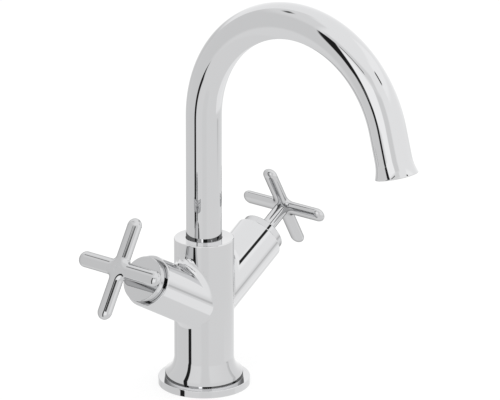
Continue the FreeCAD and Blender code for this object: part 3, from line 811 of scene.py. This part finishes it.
def inner_finishes(finishes):
    """The finish for each of the record's material slots."""
    return {
        "chrome": chrome_finish(),
        "brass": machined_finish("machined_brass", finishes.brass, roughness=0.3),
        "steel": machined_finish("plain_steel", finishes.steel, roughness=0.35),
        "rubber": moulded_finish(
            "black_rubber", finishes.rubber, roughness=0.6, grain=1500.0, height=0.00003),
        "ceramic": moulded_finish(
            "lapped_ceramic", finishes.ceramic, roughness=0.22, grain=2500.0, height=0.000005),
        "plastic": moulded_finish(
            "moulded_plastic", finishes.plastic, roughness=0.45, grain=1800.0, height=0.00001),
    }


class FAUCET_OT_inner_finishes(bpy.types.Operator):
    """Finish the pieces that keep their plain solid shape"""

    bl_idname = "faucet.inner_finishes"
    bl_label = "Inner finishes"

    def execute(self, context):
        finishes = inner_finishes(context.scene.faucet_finishes)
        slots = {entry["node"]: entry["material_slot"] for entry in frame["record"]["subparts"]}
        for name, node in frame["nodes"].items():
            for place in node.material_slots:
                place.link = "OBJECT"
                place.material = finishes[slots[name]]
        return {"FINISHED"}


# Studio

def feed(tree, value, entry):
    """Gives a node's input a socket or a plain number."""
    if isinstance(value, bpy.types.NodeSocket):
        tree.links.new(value, entry)
    else:
        entry.default_value = value


def maths(tree, operation, *values):
    """Result of a maths node on sockets or plain numbers."""
    node = tree.nodes.new("ShaderNodeMath")
    node.operation = operation
    for entry, value in zip(node.inputs, values):
        feed(tree, value, entry)
    return node.outputs["Value"]


def ramp_up(tree, socket, low, high):
    """Smooth step of the socket from 0 at low to 1 at high."""
    node = tree.nodes.new("ShaderNodeMapRange")
    node.interpolation_type = "SMOOTHSTEP"
    node.inputs["From Min"].default_value = low
    node.inputs["From Max"].default_value = high
    tree.links.new(socket, node.inputs["Value"])
    return node.outputs["Result"]


def band(tree, socket, low, high, soft):
    """1 where the socket is between low and high, with soft edges of the given width."""
    rise = ramp_up(tree, socket, low - soft / 2, low + soft / 2)
    fall = ramp_up(tree, socket, high - soft / 2, high + soft / 2)
    return maths(tree, "SUBTRACT", rise, fall)


def panel(tree, azimuth, elevation, across, upright, soft):
    """1 inside a panel that covers the given azimuths and elevations, in degrees."""
    sideways = band(tree, azimuth, *across, soft)
    upwards = band(tree, elevation, *upright, soft)
    return maths(tree, "MULTIPLY", sideways, upwards)


def blended(tree, below, value, mask):
    """The brightness below, replaced by a value where the mask is 1."""
    node = tree.nodes.new("ShaderNodeMix")
    feed(tree, mask, node.inputs["Factor"])
    feed(tree, below, node.inputs["A"])
    feed(tree, value, node.inputs["B"])
    return node.outputs["Result"]


# What the chrome mirrors in the studio: each panel's azimuths, elevations, brightness and soft edge.
# Angles are in degrees. Azimuth 0 is in front of the faucet, at -Y, and azimuth 90 is on its cold side.
MIRRORED = (
    ((-200, -112), (-90, 70), 1.03, 12.0),  # wall on the left
    ((-200, -112), (-30, 36), 0.91, 14.0),  # its shaded middle
    ((148, 200), (-32, 10), 0.84, 12.0),  # shaded corner behind
    ((10, 80), (28, 58), 1.3, 10.0),  # bright ceiling on the right
    ((-108, -40), (30, 44), 1.0, 6.0),  # grey ceiling on the left
    ((-60, -32), (-40, 30), 0.96, 10.0),  # gap round the camera
    ((-100, -60), (-8, 26), 1.34, 3.0),  # softbox on the left
    ((-113.5, -100), (-4, 33), 0.02, 2.5),  # black stand beside the softbox
    ((-112, -99.5), (-29, -4), 0.02, 2.5),  # its lower part
    ((-97, -68), (31.5, 34), 0.06, 2.0),  # upper edge of the softbox
    ((34, 92), (-46, -22), 1.2, 4.0),  # bright floor on the right
    ((43, 55), (-17.6, -13.2), 0.76, 1.5),  # its far edge
    ((-164, -150), (46, 52), 0.15, 4.0),  # beam over the left wall
    ((8, 18), (40, 50), 0.03, 2.5),  # boom over the front
)
# What only rays see that the chrome has mirrored twice, set over the panels above. It lights the rings
# at the feet of the pieces: flat tops show the low panels, and the walls over them the high ones.
MIRRORED_TWICE = (
    ((-200, 200), (2, 15), 1.47, 3.0),  # lit flat tops
    ((-55, -27), (2, 15), 1.13, 3.0),  # their front, a little greyer
    ((-200, 200), (25.5, 33), 0.25, 3.0),  # dark rings round the walls
    ((-200, -118), (17, 33), 0.25, 3.0),  # their left end, which looks lower
    ((66, 200), (17, 33), 0.25, 3.0),  # their right end, which looks lower
    ((-112, -97), (25.5, 33), 0.02, 3.0),  # black stand
    ((-97, -66), (25.5, 33), 0.8, 3.0),  # softbox
    ((-66, -55), (25.5, 33), 2.4, 3.0),  # its bright edge
    ((-55, -27), (18, 50), 0.02, 3.0),  # black block in front
    ((46, 66), (25.5, 33), 0.02, 3.0),  # black block on the right
)


def studio_light(tree, azimuth, elevation, base, panels):
    """Brightness of the studio with its panels set over the base."""
    light = base
    for across, upright, glow, soft in panels:
        light = blended(tree, light, glow, panel(tree, azimuth, elevation, across, upright, soft))
    return light


def studio_world(studio):
    """White studio: plain white to the camera, and panels round the faucet for the chrome to mirror."""
    world = bpy.data.worlds.new("studio")
    bpy.context.scene.world = world
    world.use_nodes = True
    tree = world.node_tree
    tree.nodes.clear()
    place = tree.nodes.new("ShaderNodeTexCoord")
    split = tree.nodes.new("ShaderNodeSeparateXYZ")
    tree.links.new(place.outputs["Generated"], split.inputs["Vector"])
    x, y, z = split.outputs
    turn = maths(tree, "ARCTAN2", x, maths(tree, "MULTIPLY", y, -1.0))
    azimuth = maths(tree, "DEGREES", turn)
    elevation = maths(tree, "DEGREES", maths(tree, "ARCSINE", z))
    walls = blended(tree, studio.low_walls, studio.high_walls, ramp_up(tree, elevation, *HORIZON))
    once = studio_light(tree, azimuth, elevation, walls, MIRRORED)
    twice = studio_light(tree, azimuth, elevation, once, MIRRORED_TWICE)
    ray = tree.nodes.new("ShaderNodeLightPath")
    mirrored_twice = maths(tree, "GREATER_THAN", ray.outputs["Ray Depth"], TWO_MIRRORS)
    light = blended(tree, once, twice, mirrored_twice)
    seen = blended(tree, light, 1.0, ray.outputs["Is Camera Ray"])
    background = tree.nodes.new("ShaderNodeBackground")
    background.inputs["Color"].default_value = (1.0, 1.0, 1.0, 1.0)
    output = tree.nodes.new("ShaderNodeOutputWorld")
    tree.links.new(seen, background.inputs["Strength"])
    tree.links.new(background.outputs["Background"], output.inputs["Surface"])


def studio_floor(finishes):
    """Pale floor that stays white to the camera and keeps the faucet's soft shadow."""
    material, tree, shader = new_finish("pale_floor")
    shader.inputs["Roughness"].default_value = 0.9
    clouds = noise(tree, scale=3.0, detail=2.0)
    dark_tone = darker(finishes.floor, factor=0.99)
    tree.links.new(two_tone(tree, clouds, dark_tone, finishes.floor), shader.inputs["Base Color"])
    ray = tree.nodes.new("ShaderNodeLightPath")
    white = tree.nodes.new("ShaderNodeEmission")
    mix = tree.nodes.new("ShaderNodeMixShader")
    tree.links.new(between(tree, ray.outputs["Is Camera Ray"], 0.0, WHITE_SHARE), mix.inputs["Fac"])
    tree.links.new(shader.outputs["BSDF"], mix.inputs[1])
    tree.links.new(white.outputs["Emission"], mix.inputs[2])
    tree.links.new(mix.outputs["Shader"], tree.nodes["Material Output"].inputs["Surface"])
    mesh = bmesh.new()
    bmesh.ops.create_grid(mesh, x_segments=1, y_segments=1, size=FLOOR_REACH)
    bmesh.ops.translate(mesh, verts=mesh.verts, vec=(0, 0, -FLOOR_GAP))
    floor = new_item("floor", mesh)
    floor.data.materials.append(material)
    floor.visible_glossy = False
    floor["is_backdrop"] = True


def studio_lamp(name, place, aim, width, power):
    """Soft square lamp that doesn't show in the chrome."""
    lamp = bpy.data.lights.new(name, "AREA")
    lamp.size = width
    lamp.energy = power
    item = bpy.data.objects.new(name, lamp)
    item.location = place
    item.rotation_euler = (Vector(aim) - Vector(place)).to_track_quat("-Z", "Y").to_euler()
    item.visible_glossy = False
    bpy.context.scene.collection.objects.link(item)


def studio_camera(studio):
    """Camera at the studio's viewing angle."""
    right = Vector((cos(studio.azimuth), sin(studio.azimuth), 0.0))
    level_back = Vector((sin(studio.azimuth), -cos(studio.azimuth), 0.0))
    back = leaning(level_back, studio.elevation)
    aim = right * studio.aim_side + Vector((0.0, 0.0, studio.aim_height))
    place = Matrix.Translation(aim + back * studio.distance)
    turn = Matrix((right, back.cross(right), back)).transposed().to_4x4()
    data = bpy.data.cameras.new("camera")
    data.lens = studio.lens
    data.sensor_width = 36.0
    data.clip_end = 100.0
    camera = bpy.data.objects.new("camera", data)
    camera.matrix_world = place @ turn @ Matrix.Rotation(studio.roll, 4, "Z")
    bpy.context.scene.collection.objects.link(camera)
    bpy.context.scene.camera = camera


class FAUCET_OT_studio(bpy.types.Operator):
    """Set up the floor, lights and camera"""

    bl_idname = "faucet.studio"
    bl_label = "Studio"

    def execute(self, context):
        scene = context.scene
        scene.view_settings.view_transform = "Standard"
        studio_world(scene.faucet_studio)
        studio_floor(scene.faucet_finishes)
        studio_lamp("overhead_lamp", place=(-0.3, -0.4, 1.6), aim=(0, 0, 0), width=1.6, power=10.0)
        studio_camera(scene.faucet_studio)
        return {"FINISHED"}


OPERATORS = (
    FAUCET_OT_body,
    FAUCET_OT_base_ring,
    FAUCET_OT_spout,
    FAUCET_OT_hubs,
    FAUCET_OT_crosses,
    FAUCET_OT_inner_finishes,
    FAUCET_OT_studio,
)

SETTINGS = {
    "faucet_body": FaucetBodySizes,
    "faucet_spout": FaucetSpoutSizes,
    "faucet_handles": FaucetHandleSizes,
    "faucet_finishes": FaucetFinishes,
    "faucet_studio": FaucetStudio,
}


class FAUCET_PT_panel(bpy.types.Panel):
    """Lists the faucet's settings and the steps that build it"""

    bl_idname = "FAUCET_PT_panel"
    bl_label = "Mixer faucet"
    bl_space_type = "VIEW_3D"
    bl_region_type = "UI"
    bl_category = "Faucet"

    def draw(self, context):
        for name in SETTINGS:
            group = getattr(context.scene, name)
            box = self.layout.box()
            for key in group.__annotations__:
                box.prop(group, key)
        for operator in OPERATORS:
            self.layout.operator(operator.bl_idname)


def register():
    """Registers the settings, operators and panel."""
    for name, group in SETTINGS.items():
        bpy.utils.register_class(group)
        setattr(bpy.types.Scene, name, bpy.props.PointerProperty(type=group))
    for entry in OPERATORS + (FAUCET_PT_panel,):
        bpy.utils.register_class(entry)


def unregister():
    """Takes the settings, operators and panel away again."""
    for entry in (FAUCET_PT_panel,) + OPERATORS:
        bpy.utils.unregister_class(entry)
    for name, group in SETTINGS.items():
        delattr(bpy.types.Scene, name)
        bpy.utils.unregister_class(group)


def main():
    """Builds the faucet and its studio, and works out the size of both models."""
    register()
    bpy.ops.faucet.body()
    bpy.ops.faucet.base_ring()
    bpy.ops.faucet.spout()
    bpy.ops.faucet.hubs()
    bpy.ops.faucet.crosses()
    bpy.ops.faucet.inner_finishes()
    bpy.ops.faucet.studio()
    boxes = {"cad": CAD_BOX, "visual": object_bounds()}
    plain = {name: [list(corner) for corner in box] for name, box in boxes.items()}


if __name__ == "__main__":
    main()
